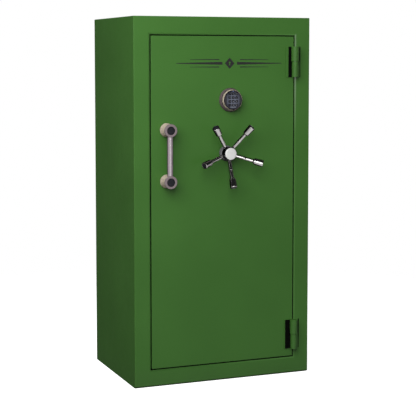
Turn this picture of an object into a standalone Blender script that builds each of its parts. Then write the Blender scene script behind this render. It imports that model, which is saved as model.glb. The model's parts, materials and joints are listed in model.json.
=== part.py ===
"""Gun safe with a working door, boltwork and keypad lock.

Metres, +Z up, at rest with the door shut and the bolts drawn back.
Pieces are placed in the safe's own frame: X from its middle, Y from its front face inwards,
Z from the floor. The root empty then moves that frame so that the body stands over the origin.
"""

import math

import bmesh
import bpy
from mathutils import Matrix, Vector

# Body
WIDTH = 0.775
DEPTH = 0.535
HEIGHT = 1.500
STEEL = 0.004
CLEAR = 0.0003
EDGE_RADIUS = 0.003
FOOT_RADIUS = 0.008

# Door opening and the frame inside it
OPENING_HALF = 0.3195
OPENING_LOW = 0.0702
OPENING_HIGH = 1.4271
LIP = 0.018
LIP_FRONT = 0.014
LIP_BACK = 0.030
LINER_OUT = 0.3465
LINER_MARGIN = LINER_OUT - OPENING_HALF
LINER_THICK = 0.004
CAVITY_BACK = 0.4935

# Door
DOOR_GAP = 0.005
PLATE = 0.012
PAN_LEFT = -0.288
PAN_RIGHT = 0.298
PAN_LOW = 0.0917
PAN_HIGH = 1.4056
PAN_BACK = 0.098
PAN_SHEET = 0.002
WEB_FRONT = 0.0285
WEB_BACK = 0.0310
PANEL_THICK = 0.0097

# Hinges
HINGE_X = 0.3125
HINGE_Y = -0.018
HINGES = {"upper": (1.2540, 1.3197, 1.3810), "lower": (0.1080, 0.1727, 0.2320)}
DOOR_KNUCKLE_R = 0.0158
FRAME_KNUCKLE_R = 0.0130
PIN_R = 0.0060
LEAF_THICK = 0.0037

# Handle, pinion and racks
HANDLE_X = 0.011
HANDLE_Z = 0.945
TEETH = 16
MODULE = 0.0025
PITCH_R = TEETH * MODULE / 2
PRESSURE = math.radians(20)
ADDENDUM = 0.9 * MODULE
DEDENDUM = 1.15 * MODULE
BACKLASH = 0.0003
SHAFT_R = 0.0095
SHAFT_HOLE_R = 0.0102
SPOKES = 5
SPOKE_TIP_R = 0.136
SPOKE_TIP_Y = -0.079
SPOKE_LEAN = math.radians(23.6)
SPOKE_ROOT_R = 0.016

# Bolts
BOLT_R = 0.016
BOLT_Y = 0.048
BOLT_LENGTH = 0.050
BOLT_PROUD = 0.004
SIDE_BOLT_Z = (0.240, 0.580, 0.920, 1.260)
END_BOLT_X = (-0.140, 0.160)
END_BOLT_PROUD = 0.0015
THROW = PITCH_R * math.pi / 2
SIDE_LAYER = (0.062, 0.068)
END_LAYER = (0.072, 0.078)

# Lock and keypad
KEYPAD_X = 0.027
KEYPAD_Z = 1.163
QUILL_R = 0.0090
QUILL_HOLE_R = 0.0097
LOCK_LOW = 1.098
LOCK_HIGH = 1.194
LOCK_HALF = 0.034
LOCK_BOLT_HALF = 0.010
LOCK_BOLT_LOW = 1.0945
KEY_PITCH_X = 0.0150
KEY_PITCH_Z = 0.0152
KEY_SIZE = (0.0110, 0.0100)
KEY_TOP_Z = KEYPAD_Z + 0.0252

# Pull handle
PULL_X = -0.250
PULL_Z = {"upper": 1.045, "lower": 0.838}
PULL_BAR_Y = -0.043

FINE = 24
ROUND = 18
COARSE = 12


def fresh_collections():
    """An empty scene with one collection for the safe and one for its cutters."""
    for obj in list(bpy.data.objects):
        bpy.data.objects.remove(obj)
    made = []
    for name in ("gun_safe", "cutters"):
        collection = bpy.data.collections.new(name)
        bpy.context.scene.collection.children.link(collection)
        made.append(collection)
    return made


PARTS, CUTTERS = fresh_collections()


def material(name, colour, roughness, metallic):
    made = bpy.data.materials.new(name)
    made.use_nodes = True
    shader = made.node_tree.nodes["Principled BSDF"]
    shader.inputs["Base Color"].default_value = (*colour, 1)
    shader.inputs["Roughness"].default_value = roughness
    shader.inputs["Metallic"].default_value = metallic
    made.diffuse_color = (*colour, 1)
    return made


GREEN = material("green_powder_coat", (0.045, 0.135, 0.032), 0.42, 0.0)
CHROME = material("chrome", (0.78, 0.78, 0.80), 0.08, 1.0)
DARK_CHROME = material("dark_chrome", (0.25, 0.25, 0.27), 0.18, 1.0)
NICKEL = material("satin_nickel", (0.52, 0.47, 0.40), 0.30, 1.0)
STEEL_GREY = material("plain_steel", (0.45, 0.46, 0.47), 0.35, 1.0)
ZINC = material("zinc_plate", (0.62, 0.60, 0.52), 0.32, 1.0)
BLACK = material("black_plastic", (0.012, 0.012, 0.014), 0.25, 0.0)
KEY_BLACK = material("key_plastic", (0.03, 0.03, 0.035), 0.35, 0.0)
CARPET = material("grey_carpet", (0.16, 0.155, 0.15), 0.95, 0.0)
BOARD = material("fireboard", (0.72, 0.70, 0.66), 0.9, 0.0)
SEAL = material("seal_strip", (0.035, 0.033, 0.032), 0.7, 0.0)


def joint_empty(name, place, parent):
    """An empty on a joint's axis; what is attached to it moves with the joint."""
    empty = bpy.data.objects.new(name, None)
    PARTS.objects.link(empty)
    empty.location = place
    empty.empty_display_size = 0.05
    if parent:
        attach(empty, parent)
    return empty


def attach(obj, parent):
    """Parent an object so that its own location stays in the safe's frame."""
    obj.parent = parent
    obj.matrix_parent_inverse = Matrix.Translation(-Vector(parent.location))


def as_part(obj, parent, finish):
    PARTS.objects.link(obj)
    attach(obj, parent)
    obj.data.materials.append(finish)
    return obj


def as_cutter(obj, parent):
    CUTTERS.objects.link(obj)
    attach(obj, parent)
    obj.hide_render = True
    obj.display_type = "WIRE"
    return obj


def boolean(target, tool, operation="DIFFERENCE"):
    modifier = target.modifiers.new(tool.name, "BOOLEAN")
    modifier.operation = operation
    modifier.solver = "EXACT"
    modifier.object = tool


def smooth(mesh):
    mesh.shade_smooth()
    mesh.set_sharp_from_angle(angle=math.radians(35))


def block(name, low, high, bevel=0.0, segments=1):
    """A box between two corners, with its origin at its middle."""
    low, high = Vector(low), Vector(high)
    mesh = bpy.data.meshes.new(name)
    form = bmesh.new()
    bmesh.ops.create_cube(form, size=1)
    bmesh.ops.scale(form, vec=high - low, verts=form.verts)
    form.to_mesh(mesh)
    form.free()
    obj = bpy.data.objects.new(name, mesh)
    obj.location = (low + high) / 2
    if bevel:
        modifier = obj.modifiers.new("edges", "BEVEL")
        modifier.width = bevel
        modifier.segments = segments
    return obj


def rod(name, start, end, radius, sides=ROUND, chamfer=0.0):
    """A straight round bar from start to end, with an optional chamfer at both ends."""
    start, end = Vector(start), Vector(end)
    length = (end - start).length
    outline = [(0, length), (radius, length), (radius, 0), (0, 0)]
    if chamfer:
        outline[1:3] = [
            (radius - chamfer, length),
            (radius, length - chamfer),
            (radius, chamfer),
            (radius - chamfer, 0),
        ]
    obj = turned(name, outline, sides)
    obj.location = start
    obj.rotation_euler = (end - start).to_track_quat("Z", "Y").to_euler()
    return obj


def turned(name, outline, sides, ring=False):
    """Turn (radius, height) points about local Z. A ring's outline closes on itself."""
    mesh = bpy.data.meshes.new(name)
    form = bmesh.new()
    points = [form.verts.new((radius, 0, height)) for radius, height in outline]
    for first, second in zip(points, points[1:]):
        form.edges.new((first, second))
    if ring:
        form.edges.new((points[-1], points[0]))
    form.to_mesh(mesh)
    form.free()
    obj = bpy.data.objects.new(name, mesh)
    screw = obj.modifiers.new("turn", "SCREW")
    screw.axis = "Z"
    screw.steps = screw.render_steps = sides
    screw.use_merge_vertices = True
    screw.merge_threshold = 0.00005
    screw.use_smooth_shade = False
    return obj


def on_door_face(obj, x, z):
    """Stand a turned piece on the door's face: its local +Z points out of the safe."""
    obj.location = (x, 0, z)
    obj.rotation_euler = (math.pi / 2, 0, 0)
    return obj


def plate(name, outline, thickness, place, rotation=(0, 0, 0)):
    """A flat plate cut to an outline, half its thickness each side of its own plane."""
    mesh = bpy.data.meshes.new(name)
    form = bmesh.new()
    corners = [form.verts.new((x, y, -thickness / 2)) for x, y in outline]
    edges = [form.edges.new((corners[i - 1], corners[i])) for i in range(len(corners))]
    bmesh.ops.edgeloop_fill(form, edges=edges)
    raised = bmesh.ops.extrude_face_region(form, geom=form.faces[:])
    lifted = [item for item in raised["geom"] if isinstance(item, bmesh.types.BMVert)]
    bmesh.ops.translate(form, vec=(0, 0, thickness), verts=lifted)
    bmesh.ops.recalc_face_normals(form, faces=form.faces)
    form.to_mesh(mesh)
    form.free()
    obj = bpy.data.objects.new(name, mesh)
    obj.location = place
    obj.rotation_euler = rotation
    return obj


def hollow(target, parent, low, high):
    """Cut a box out of a piece."""
    count = sum(1 for m in target.modifiers if m.type == "BOOLEAN")
    boolean(target, as_cutter(block(f"{target.name}_space_{count}", low, high), parent))


def bore(target, parent, start, end, radius, sides=ROUND):
    """Cut a round hole in a piece."""
    count = sum(1 for m in target.modifiers if m.type == "BOOLEAN")
    tool = rod(f"{target.name}_hole_{count}", start, end, radius, sides)
    boolean(target, as_cutter(tool, parent))


ROOT = joint_empty("gun_safe_root", (0, 0, 0), None)
DOOR = joint_empty("door_hinge", (HINGE_X, HINGE_Y, 0), ROOT)
HANDLE = joint_empty("handle_axis", (HANDLE_X, 0, HANDLE_Z), DOOR)
RING = joint_empty("keypad_ring_axis", (KEYPAD_X, 0, KEYPAD_Z), DOOR)
SIDE_BOLTS = joint_empty("side_bolt_slide", (PAN_LEFT, BOLT_Y, HANDLE_Z), DOOR)
TOP_BOLTS = joint_empty("top_bolt_slide", (HANDLE_X, BOLT_Y, PAN_HIGH), DOOR)
BOTTOM_BOLTS = joint_empty("bottom_bolt_slide", (HANDLE_X, BOLT_Y, PAN_LOW), DOOR)
LOCK_BOLT = joint_empty("lock_bolt_slide", (KEYPAD_X, 0.0635, LOCK_BOLT_LOW), DOOR)


# ---------------------------------------------------------------- body


def round_shell_edges(mesh):
    """Bends of the folded steel: the front's bottom edge is turned under more than the others."""
    form = bmesh.new()
    form.from_mesh(mesh)
    foot = [
        edge
        for edge in form.edges
        if all(v.co.y < 0 and v.co.z < 0 for v in edge.verts)
    ]
    bmesh.ops.bevel(form, geom=foot, offset=FOOT_RADIUS, segments=3, profile=0.5, affect="EDGES")
    form.to_mesh(mesh)
    form.free()


def make_shell():
    shell = block("outer_shell", (-WIDTH / 2, 0, 0), (WIDTH / 2, DEPTH, HEIGHT))
    round_shell_edges(shell.data)
    bends = shell.modifiers.new("edges", "BEVEL")
    bends.width = EDGE_RADIUS
    bends.segments = 2
    bends.angle_limit = math.radians(50)
    as_part(shell, ROOT, GREEN)
    inner = WIDTH / 2 - STEEL
    hollow(shell, ROOT, (-inner, STEEL, STEEL), (inner, DEPTH - STEEL, HEIGHT - STEEL))
    hollow(
        shell, ROOT, (-OPENING_HALF, -0.01, OPENING_LOW), (OPENING_HALF, 0.01, OPENING_HIGH)
    )
    return shell


def make_frame():
    low = (-LINER_OUT, STEEL + CLEAR, OPENING_LOW - LINER_MARGIN)
    high = (LINER_OUT, LIP_BACK, OPENING_HIGH + LINER_MARGIN)
    frame = as_part(block("front_frame", low, high), ROOT, GREEN)
    hollow(
        frame, ROOT, (-OPENING_HALF, -0.01, OPENING_LOW), (OPENING_HALF, LIP_FRONT, OPENING_HIGH)
    )
    inside = OPENING_HALF - LIP
    hollow(
        frame, ROOT, (-inside, 0, OPENING_LOW + LIP), (inside, 0.05, OPENING_HIGH - LIP)
    )


def make_lining():
    """Fireboard against the steel, and the carpeted liner inside it, whose floor height it returns."""
    wall = STEEL + CLEAR
    side = WIDTH / 2 - wall
    board = block("fireboard_lining", (-side, wall, wall), (side, DEPTH - wall, HEIGHT - wall))
    as_part(board, ROOT, BOARD)
    low, high = OPENING_LOW - LINER_MARGIN, OPENING_HIGH + LINER_MARGIN
    back = CAVITY_BACK + LINER_THICK
    reach = LINER_OUT + CLEAR
    hollow(board, ROOT, (-reach, -0.01, low - CLEAR), (reach, back + CLEAR, high + CLEAR))
    liner = block("interior_liner", (-LINER_OUT, LIP_BACK + CLEAR, low), (LINER_OUT, back, high))
    as_part(liner, ROOT, CARPET)
    inside = LINER_OUT - LINER_THICK
    hollow(
        liner, ROOT, (-inside, 0, low + LINER_THICK), (inside, CAVITY_BACK, high - LINER_THICK)
    )
    return board, liner, low + LINER_THICK


def make_anchor_holes(targets):
    """Four holes through the floor, for bolting the safe down."""
    for x in (-0.22, 0.22):
        for y in (0.16, 0.40):
            for target in targets:
                bore(target, ROOT, (x, y, -0.01), (x, y, 0.06), 0.007, COARSE)


def make_seal():
    outer = OPENING_HALF - 0.0085
    inner = outer - 0.007
    low = (-outer, PLATE + 0.0004, OPENING_LOW + 0.0085)
    high = (outer, LIP_FRONT - CLEAR, OPENING_HIGH - 0.0085)
    seal = as_part(block("door_seal", low, high), ROOT, SEAL)
    hollow(
        seal, ROOT, (-inner, 0, OPENING_LOW + 0.0155), (inner, 0.05, OPENING_HIGH - 0.0155)
    )


def make_fittings(floor):
    """Divider, shelves and barrel rest."""
    side = LINER_OUT - LINER_THICK - CLEAR
    front, back = 0.125, CAVITY_BACK - CLEAR
    shelf, upper = 0.012, 1.180
    left = 0.030

    def board(name, low, high):
        as_part(block(name, low, high, 0.002), ROOT, CARPET)

    board("upper_shelf", (-side, front, upper), (side, back, upper + shelf))
    board("divider_panel", (left, front, floor + CLEAR), (left + shelf, back, upper - CLEAR))
    for name, height in (("side_shelf_lower", 0.440), ("side_shelf_upper", 0.810)):
        low = (left + shelf + CLEAR, front, height)
        board(name, low, (side, back, height + shelf))

    notches, pitch, half, depth, rest_front = 5, 0.070, 0.018, 0.060, 0.375
    middle = (left - CLEAR - side) / 2
    outline = [(-side, back), (-side, rest_front)]
    for index in range(notches):
        x = middle + (index - (notches - 1) / 2) * pitch
        outline.append((x - half, rest_front))
        for step in range(7):
            turn = math.pi - step * math.pi / 6
            y = rest_front + depth - half + half * math.sin(turn)
            outline.append((x + half * math.cos(turn), y))
        outline.append((x + half, rest_front))
    outline += [(left - CLEAR, rest_front), (left - CLEAR, back)]
    as_part(plate("barrel_rest", outline, shelf, (0, 0, 0.906)), ROOT, CARPET)


# ---------------------------------------------------------------- hinges


def make_hinge(name, low, middle, high):
    """A lift-off hinge: the pin stands in the frame's knuckle and the door's drops over it."""
    bore_r = PIN_R + 0.0005
    rim = 0.001
    foot, roof = low + 0.008, high - 0.009
    split = middle + CLEAR

    door = turned(
        f"door_knuckle_{name}",
        [
            (0, high),
            (DOOR_KNUCKLE_R - rim, high),
            (DOOR_KNUCKLE_R, high - rim),
            (DOOR_KNUCKLE_R, split + rim),
            (DOOR_KNUCKLE_R - rim, split),
            (bore_r, split),
            (bore_r, roof),
            (0, roof),
        ],
        ROUND,
    )
    door.location = (HINGE_X, HINGE_Y, 0)
    as_part(door, DOOR, GREEN)
    leaf = block(
        f"door_leaf_form_{name}",
        (HINGE_X - 0.0355, -LEAF_THICK - CLEAR, split),
        (HINGE_X, -CLEAR, high),
    )
    boolean(door, as_cutter(leaf, DOOR), "UNION")

    frame = turned(
        f"frame_knuckle_{name}",
        [
            (0, foot),
            (bore_r, foot),
            (bore_r, middle - CLEAR),
            (FRAME_KNUCKLE_R - rim, middle - CLEAR),
            (FRAME_KNUCKLE_R, middle - CLEAR - rim),
            (FRAME_KNUCKLE_R, low + rim),
            (FRAME_KNUCKLE_R - rim, low),
            (0, low),
        ],
        ROUND,
    )
    frame.location = (HINGE_X, HINGE_Y, 0)
    as_part(frame, ROOT, GREEN)
    leaf = plate(
        f"frame_leaf_form_{name}",
        [
            (0.002, 0.0177),
            (0.002, 0.0110),
            (0.0095, 0.0080),
            (0.0125, 0.0140),
            (0.0275, 0.0140),
            (0.0275, 0.0177),
        ],
        middle - CLEAR - low,
        (HINGE_X, HINGE_Y, (middle - CLEAR + low) / 2),
    )
    boolean(frame, as_cutter(leaf, ROOT), "UNION")

    pin = rod(
        f"hinge_pin_{name}",
        (HINGE_X, HINGE_Y, foot + CLEAR),
        (HINGE_X, HINGE_Y, roof - 0.002),
        PIN_R,
        COARSE,
        0.0015,
    )
    as_part(pin, ROOT, STEEL_GREY)


# ---------------------------------------------------------------- door


def pierce(target, start, end):
    """The handle shaft's hole and the keypad quill's hole, through one door layer."""
    for x, z, radius in ((HANDLE_X, HANDLE_Z, SHAFT_HOLE_R), (KEYPAD_X, KEYPAD_Z, QUILL_HOLE_R)):
        bore(target, DOOR, (x, start, z), (x, end, z), radius)


def make_door():
    half = OPENING_HALF - DOOR_GAP
    low, high = OPENING_LOW + DOOR_GAP, OPENING_HIGH - DOOR_GAP
    front = block("door_plate", (-half, 0, low), (half, PLATE, high), 0.0012, 2)
    as_part(front, DOOR, GREEN)
    pierce(front, -0.01, 0.03)

    pan = block(
        "door_pan", (PAN_LEFT, PLATE + CLEAR, PAN_LOW), (PAN_RIGHT, PAN_BACK, PAN_HIGH)
    )
    as_part(pan, DOOR, GREEN)
    left, right = PAN_LEFT + PAN_SHEET, PAN_RIGHT - PAN_SHEET
    floor, roof = PAN_LOW + PAN_SHEET, PAN_HIGH - PAN_SHEET
    hollow(pan, DOOR, (left, 0, floor), (right, WEB_FRONT, roof))
    hollow(pan, DOOR, (left, WEB_BACK, floor), (right, 0.2, roof))
    pierce(pan, 0.02, 0.05)
    hole_r = BOLT_R + 0.0010
    for z in SIDE_BOLT_Z:
        bore(pan, DOOR, (PAN_LEFT - 0.01, BOLT_Y, z), (left + 0.01, BOLT_Y, z), hole_r, COARSE)
        bore(pan, DOOR, (right - 0.01, BOLT_Y, z), (PAN_RIGHT + 0.01, BOLT_Y, z), hole_r, COARSE)
    for x in END_BOLT_X:
        bore(pan, DOOR, (x, BOLT_Y, roof - 0.01), (x, BOLT_Y, PAN_HIGH + 0.01), hole_r, COARSE)
        bore(pan, DOOR, (x, BOLT_Y, PAN_LOW - 0.01), (x, BOLT_Y, floor + 0.01), hole_r, COARSE)

    board = block(
        "door_fireboard",
        (left + CLEAR, PLATE + 2 * CLEAR, floor + CLEAR),
        (right - CLEAR, WEB_FRONT - CLEAR, roof - CLEAR),
    )
    as_part(board, DOOR, BOARD)
    pierce(board, 0.0, 0.05)

    panel = block(
        "inner_panel",
        (PAN_LEFT, PAN_BACK + CLEAR, PAN_LOW),
        (PAN_RIGHT, PAN_BACK + CLEAR + PANEL_THICK, PAN_HIGH),
        0.002,
    )
    as_part(panel, DOOR, CARPET)


def make_dead_bolts():
    """Fixed bolts on the hinge side, on one bar inside the pan."""
    tip, bar_x, bar_thick = 0.3285, 0.2705, 0.005
    bar = block(
        "dead_bolts",
        (bar_x, BOLT_Y - 0.0145, SIDE_BOLT_Z[0] - 0.03),
        (bar_x + bar_thick, BOLT_Y + 0.0145, SIDE_BOLT_Z[-1] + 0.03),
    )
    as_part(bar, DOOR, ZINC)
    bar.location.y += 0.0035
    for number, z in enumerate(SIDE_BOLT_Z):
        start = (bar_x + 0.001, BOLT_Y, z)
        bolt = rod(f"dead_bolt_form_{number}", start, (tip, BOLT_Y, z), BOLT_R, ROUND, 0.0015)
        boolean(bar, as_cutter(bolt, DOOR), "UNION")


# ---------------------------------------------------------------- boltwork


def involute(radius, base):
    """Angle by which an involute of a base circle has turned at a radius."""
    along = math.sqrt(max(radius * radius - base * base, 0)) / base
    return along - math.atan(along)


def pinion_outline():
    """Involute teeth, with one tooth pointing along each of +X, +Y, -X and -Y."""
    base = PITCH_R * math.cos(PRESSURE)
    tip, root = PITCH_R + ADDENDUM, PITCH_R - DEDENDUM
    half_tooth = (math.pi * MODULE / 2 - BACKLASH) / 2 / PITCH_R
    flank_radii = [base, PITCH_R, tip]
    outline = []
    for tooth in range(TEETH):
        middle = tooth * math.tau / TEETH
        for side, radii in ((-1, [root] + flank_radii), (1, flank_radii[::-1] + [root])):
            for radius in radii:
                turned_by = involute(max(radius, base), base) - involute(PITCH_R, base)
                angle = middle + side * (half_tooth - turned_by)
                outline.append((radius * math.cos(angle), radius * math.sin(angle)))
    return outline


def rack_teeth(start, end):
    """Points of a rack's toothed edge along +X from start to end, teeth pointing to -Y.

    The pitch line is Y = 0 and a space between teeth is centred on X = 0.
    """
    pitch = math.pi * MODULE
    slope = math.tan(PRESSURE)
    half = pitch / 4 - BACKLASH / 2
    points = []
    for index in range(math.ceil(start / pitch - 0.5), math.floor(end / pitch - 0.5) + 1):
        x = (index + 0.5) * pitch
        wide, narrow = half + DEDENDUM * slope, half - ADDENDUM * slope
        points += [
            (x - wide, DEDENDUM),
            (x - narrow, -ADDENDUM),
            (x + narrow, -ADDENDUM),
            (x + wide, DEDENDUM),
        ]
    return points


def make_pinion_shaft():
    """The handle's shaft, turned down behind the web, with the pinion fixed on its thin end."""
    front, back = 0.0608, 0.0792
    end_r = 0.0075
    shaft = turned(
        "handle_shaft",
        [
            (0, 0.0402),
            (SHAFT_R - 0.0008, 0.0402),
            (SHAFT_R, 0.0394),
            (SHAFT_R, CLEAR - front),
            (end_r, CLEAR - front),
            (end_r, -0.0865),
            (0, -0.0865),
        ],
        ROUND,
    )
    as_part(on_door_face(shaft, HANDLE_X, HANDLE_Z), HANDLE, STEEL_GREY)
    gear = plate(
        "drive_pinion",
        pinion_outline(),
        back - front,
        (HANDLE_X, (front + back) / 2, HANDLE_Z),
        (math.pi / 2, 0, 0),
    )
    as_part(gear, HANDLE, STEEL_GREY)
    bore(gear, HANDLE, (HANDLE_X, 0.05, HANDLE_Z), (HANDLE_X, 0.09, HANDLE_Z), end_r + 0.0005)


def upright(name, outline, layer, x=0.0, z=0.0):
    """A plate standing parallel to the door, drawn in X and Z, in one layer of the boltwork."""
    middle = (layer[0] + layer[1]) / 2
    return plate(name, outline, layer[1] - layer[0], (x, middle, z), (math.pi / 2, 0, 0))


def make_side_bolts():
    """The bar that throws four bolts to the left, with its rack over the pinion."""
    tip = PAN_LEFT - BOLT_PROUD
    flange = tip + BOLT_LENGTH + CLEAR
    low, high = SIDE_BOLT_Z[0] - 0.025, SIDE_BOLT_Z[-1] + 0.025
    back = SIDE_LAYER[1] - 0.0005
    bar = block("side_bolt_bar", (flange, 0.034, low), (flange + 0.004, back, high))
    as_part(bar, SIDE_BOLTS, ZINC)
    web = block(
        "side_web_form",
        (flange + 0.001, SIDE_LAYER[0] + 0.001, low + 0.001),
        (-0.200, back - 0.0005, high - 0.001),
    )
    boolean(bar, as_cutter(web, SIDE_BOLTS), "UNION")

    rack_z = HANDLE_Z + PITCH_R
    arm_top = 0.015
    notch_half, notch_depth = LOCK_BOLT_HALF + 0.001, 0.0105
    tab_top = LOCK_BOLT_LOW - 0.001 - rack_z
    first = KEYPAD_X - HANDLE_X
    outline = [(-0.215, arm_top), (-0.215, DEDENDUM)]
    outline += rack_teeth(-0.010, THROW + 0.010)
    outline += [(0.068, DEDENDUM), (0.068, tab_top)]
    for middle in (first + THROW, first):
        outline += [
            (middle + notch_half, tab_top),
            (middle + notch_half, tab_top - notch_depth),
            (middle - notch_half, tab_top - notch_depth),
            (middle - notch_half, tab_top),
        ]
    outline += [(-0.006, tab_top), (-0.006, 0.040), (-0.030, arm_top)]
    arm = upright("side_rack_form", outline, SIDE_LAYER, HANDLE_X, rack_z)
    boolean(bar, as_cutter(arm, SIDE_BOLTS), "UNION")
    for number, z in enumerate(SIDE_BOLT_Z, 1):
        start = (tip + BOLT_LENGTH, BOLT_Y, z)
        bolt = rod(f"side_bolt_{number}", start, (tip, BOLT_Y, z), BOLT_R, ROUND, 0.0015)
        as_part(bolt, SIDE_BOLTS, CHROME)


def make_end_bolts(name, parent, side):
    """The top (side 1) or bottom (side -1) bolt bar, with its two bolts and its rack."""
    edge = PAN_HIGH if side > 0 else PAN_LOW
    tip = edge + side * END_BOLT_PROUD
    seat = tip - side * BOLT_LENGTH
    flange = seat - side * 0.004
    ends = (END_BOLT_X[0] - 0.030, END_BOLT_X[1] + 0.030)
    bar = block(
        name,
        (ends[0] - 0.001, 0.034, min(seat, flange)),
        (ends[1] + 0.001, END_LAYER[1] - 0.0005, max(seat, flange)),
    )
    as_part(bar, parent, ZINC)

    # Drawn for the top bar; the bottom bar is the same turned half a turn about the handle.
    teeth = [(PITCH_R + y, x) for x, y in rack_teeth(-THROW - 0.010, 0.010)]
    back_x = PITCH_R + 0.015
    top = abs(seat - HANDLE_Z) + 0.001
    web_low = top - 0.028
    left, right = sorted(side * (x - HANDLE_X) for x in ends)
    root_x = PITCH_R + DEDENDUM
    outline = [(root_x, -THROW - 0.016)] + teeth + [(root_x, web_low), (left, web_low), (left, top)]
    outline += [(right, top), (right, web_low), (back_x, web_low), (back_x, -THROW - 0.016)]
    outline = [(side * x, side * z) for x, z in outline]
    arm = upright(f"{name}_rack_form", outline, END_LAYER, HANDLE_X, HANDLE_Z)
    boolean(bar, as_cutter(arm, parent), "UNION")
    for number, x in enumerate(END_BOLT_X):
        start, end = (x, BOLT_Y, seat - side * 0.002), (x, BOLT_Y, tip)
        bolt = rod(f"{name}_form_{number}", start, end, BOLT_R, ROUND, 0.0015)
        boolean(bar, as_cutter(bolt, parent), "UNION")


def make_lock():
    case = block(
        "lock_case",
        (KEYPAD_X - LOCK_HALF, WEB_BACK + CLEAR, LOCK_LOW),
        (KEYPAD_X + LOCK_HALF, 0.0695, LOCK_HIGH),
        0.002,
    )
    as_part(case, DOOR, ZINC)
    slot = LOCK_BOLT_HALF + 0.0004
    hollow(
        case,
        DOOR,
        (KEYPAD_X - slot, 0.0600, LOCK_LOW - 0.01),
        (KEYPAD_X + slot, 0.0670, LOCK_LOW + 0.024),
    )
    bolt = block(
        "lock_bolt",
        (KEYPAD_X - LOCK_BOLT_HALF, 0.0604, LOCK_BOLT_LOW),
        (KEYPAD_X + LOCK_BOLT_HALF, 0.0666, LOCK_BOLT_LOW + 0.0265),
        0.0008,
    )
    as_part(bolt, LOCK_BOLT, STEEL_GREY)


# ---------------------------------------------------------------- handle


def spoke_direction(number):
    """Unit vector along a spoke, one of which hangs straight down."""
    angle = -math.pi / 2 + number * math.tau / SPOKES
    flat = math.cos(SPOKE_LEAN)
    return Vector((flat * math.cos(angle), -math.sin(SPOKE_LEAN), flat * math.sin(angle)))


def make_handle():
    escutcheon = turned(
        "handle_escutcheon",
        [
            (SHAFT_HOLE_R, 0.0122),
            (0.0270, 0.0122),
            (0.0290, 0.0100),
            (0.0320, 0.0050),
            (0.0320, CLEAR),
            (SHAFT_HOLE_R, CLEAR),
        ],
        FINE,
        ring=True,
    )
    as_part(on_door_face(escutcheon, HANDLE_X, HANDLE_Z), DOOR, DARK_CHROME)

    hub = turned(
        "handle_hub",
        [
            (0, 0.0470),
            (0.0250, 0.0470),
            (0.0265, 0.0455),
            (0.0265, 0.0140),
            (0.0250, 0.0125),
            (SHAFT_R + 0.0005, 0.0125),
            (SHAFT_R + 0.0005, 0.0405),
            (0, 0.0405),
        ],
        FINE,
    )
    as_part(on_door_face(hub, HANDLE_X, HANDLE_Z), HANDLE, CHROME)

    cap = turned(
        "hub_cap",
        [
            (0, 0.0515),
            (0.0150, 0.0512),
            (0.0235, 0.0503),
            (0.0245, 0.0490),
            (0.0245, 0.0473),
            (0, 0.0473),
        ],
        FINE,
    )
    as_part(on_door_face(cap, HANDLE_X, HANDLE_Z), HANDLE, NICKEL)

    length = (SPOKE_TIP_R - SPOKE_ROOT_R) / math.cos(SPOKE_LEAN)
    root_y = SPOKE_TIP_Y + length * math.sin(SPOKE_LEAN)
    outline = [
        (0, length),
        (0.0120, length),
        (0.0146, length - 0.003),
        (0.0130, length - 0.038),
        (0.0112, length - 0.0405),
        (0.0074, length - 0.042),
        (0.0074, length - 0.052),
        (0.0083, length - 0.082),
        (0.0066, 0.013),
        (0.0062, 0),
        (0, 0),
    ]
    for number in range(SPOKES):
        direction = spoke_direction(number)
        flat = Vector((direction.x, 0, direction.z)).normalized()
        start = Vector((HANDLE_X, root_y, HANDLE_Z)) + flat * SPOKE_ROOT_R
        spoke = turned(f"spoke_{number + 1}", outline, ROUND)
        spoke.location = start
        spoke.rotation_euler = direction.to_track_quat("Z", "Y").to_euler()
        as_part(spoke, HANDLE, CHROME)
        bore(hub, HANDLE, start - direction * 0.0005, start + direction * 0.03, 0.0071, COARSE)


# ---------------------------------------------------------------- pull handle


def make_pull_handle():
    for name, z in PULL_Z.items():
        post = turned(
            f"pull_post_{name}",
            [
                (0, 0.0530),
                (0.0168, 0.0530),
                (0.0168, 0.0560),
                (0.0255, 0.0560),
                (0.0266, 0.0548),
                (0.0266, 0.0470),
                (0.0255, 0.0455),
                (0.0255, 0.0110),
                (0.0280, 0.0080),
                (0.0280, CLEAR),
                (0, CLEAR),
            ],
            FINE,
        )
        as_part(on_door_face(post, PULL_X, z), DOOR, NICKEL)
        inwards = 1 if name == "lower" else -1
        start, end = z + inwards * 0.0185, z + inwards * 0.040
        bore(post, DOOR, (PULL_X, PULL_BAR_Y, start), (PULL_X, PULL_BAR_Y, end), 0.0112)
        cap = turned(
            f"pull_cap_{name}",
            [(0, 0.0565), (0.0140, 0.0562), (0.0163, 0.0553), (0.0163, 0.0533), (0, 0.0533)],
            ROUND,
        )
        as_part(on_door_face(cap, PULL_X, z), DOOR, BLACK)

    low, high = PULL_Z["lower"] + 0.0190, PULL_Z["upper"] - 0.0190
    length = high - low
    outline = [(0, length)]
    for step in range(7):
        share = 1 - step / 6
        outline.append((0.0105 + 0.0014 * math.sin(math.pi * share), length * share))
    outline.append((0, 0))
    bar = turned("pull_bar", outline, ROUND)
    bar.location = (PULL_X, PULL_BAR_Y, low)
    as_part(bar, DOOR, CHROME)


# ---------------------------------------------------------------- keypad


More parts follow.
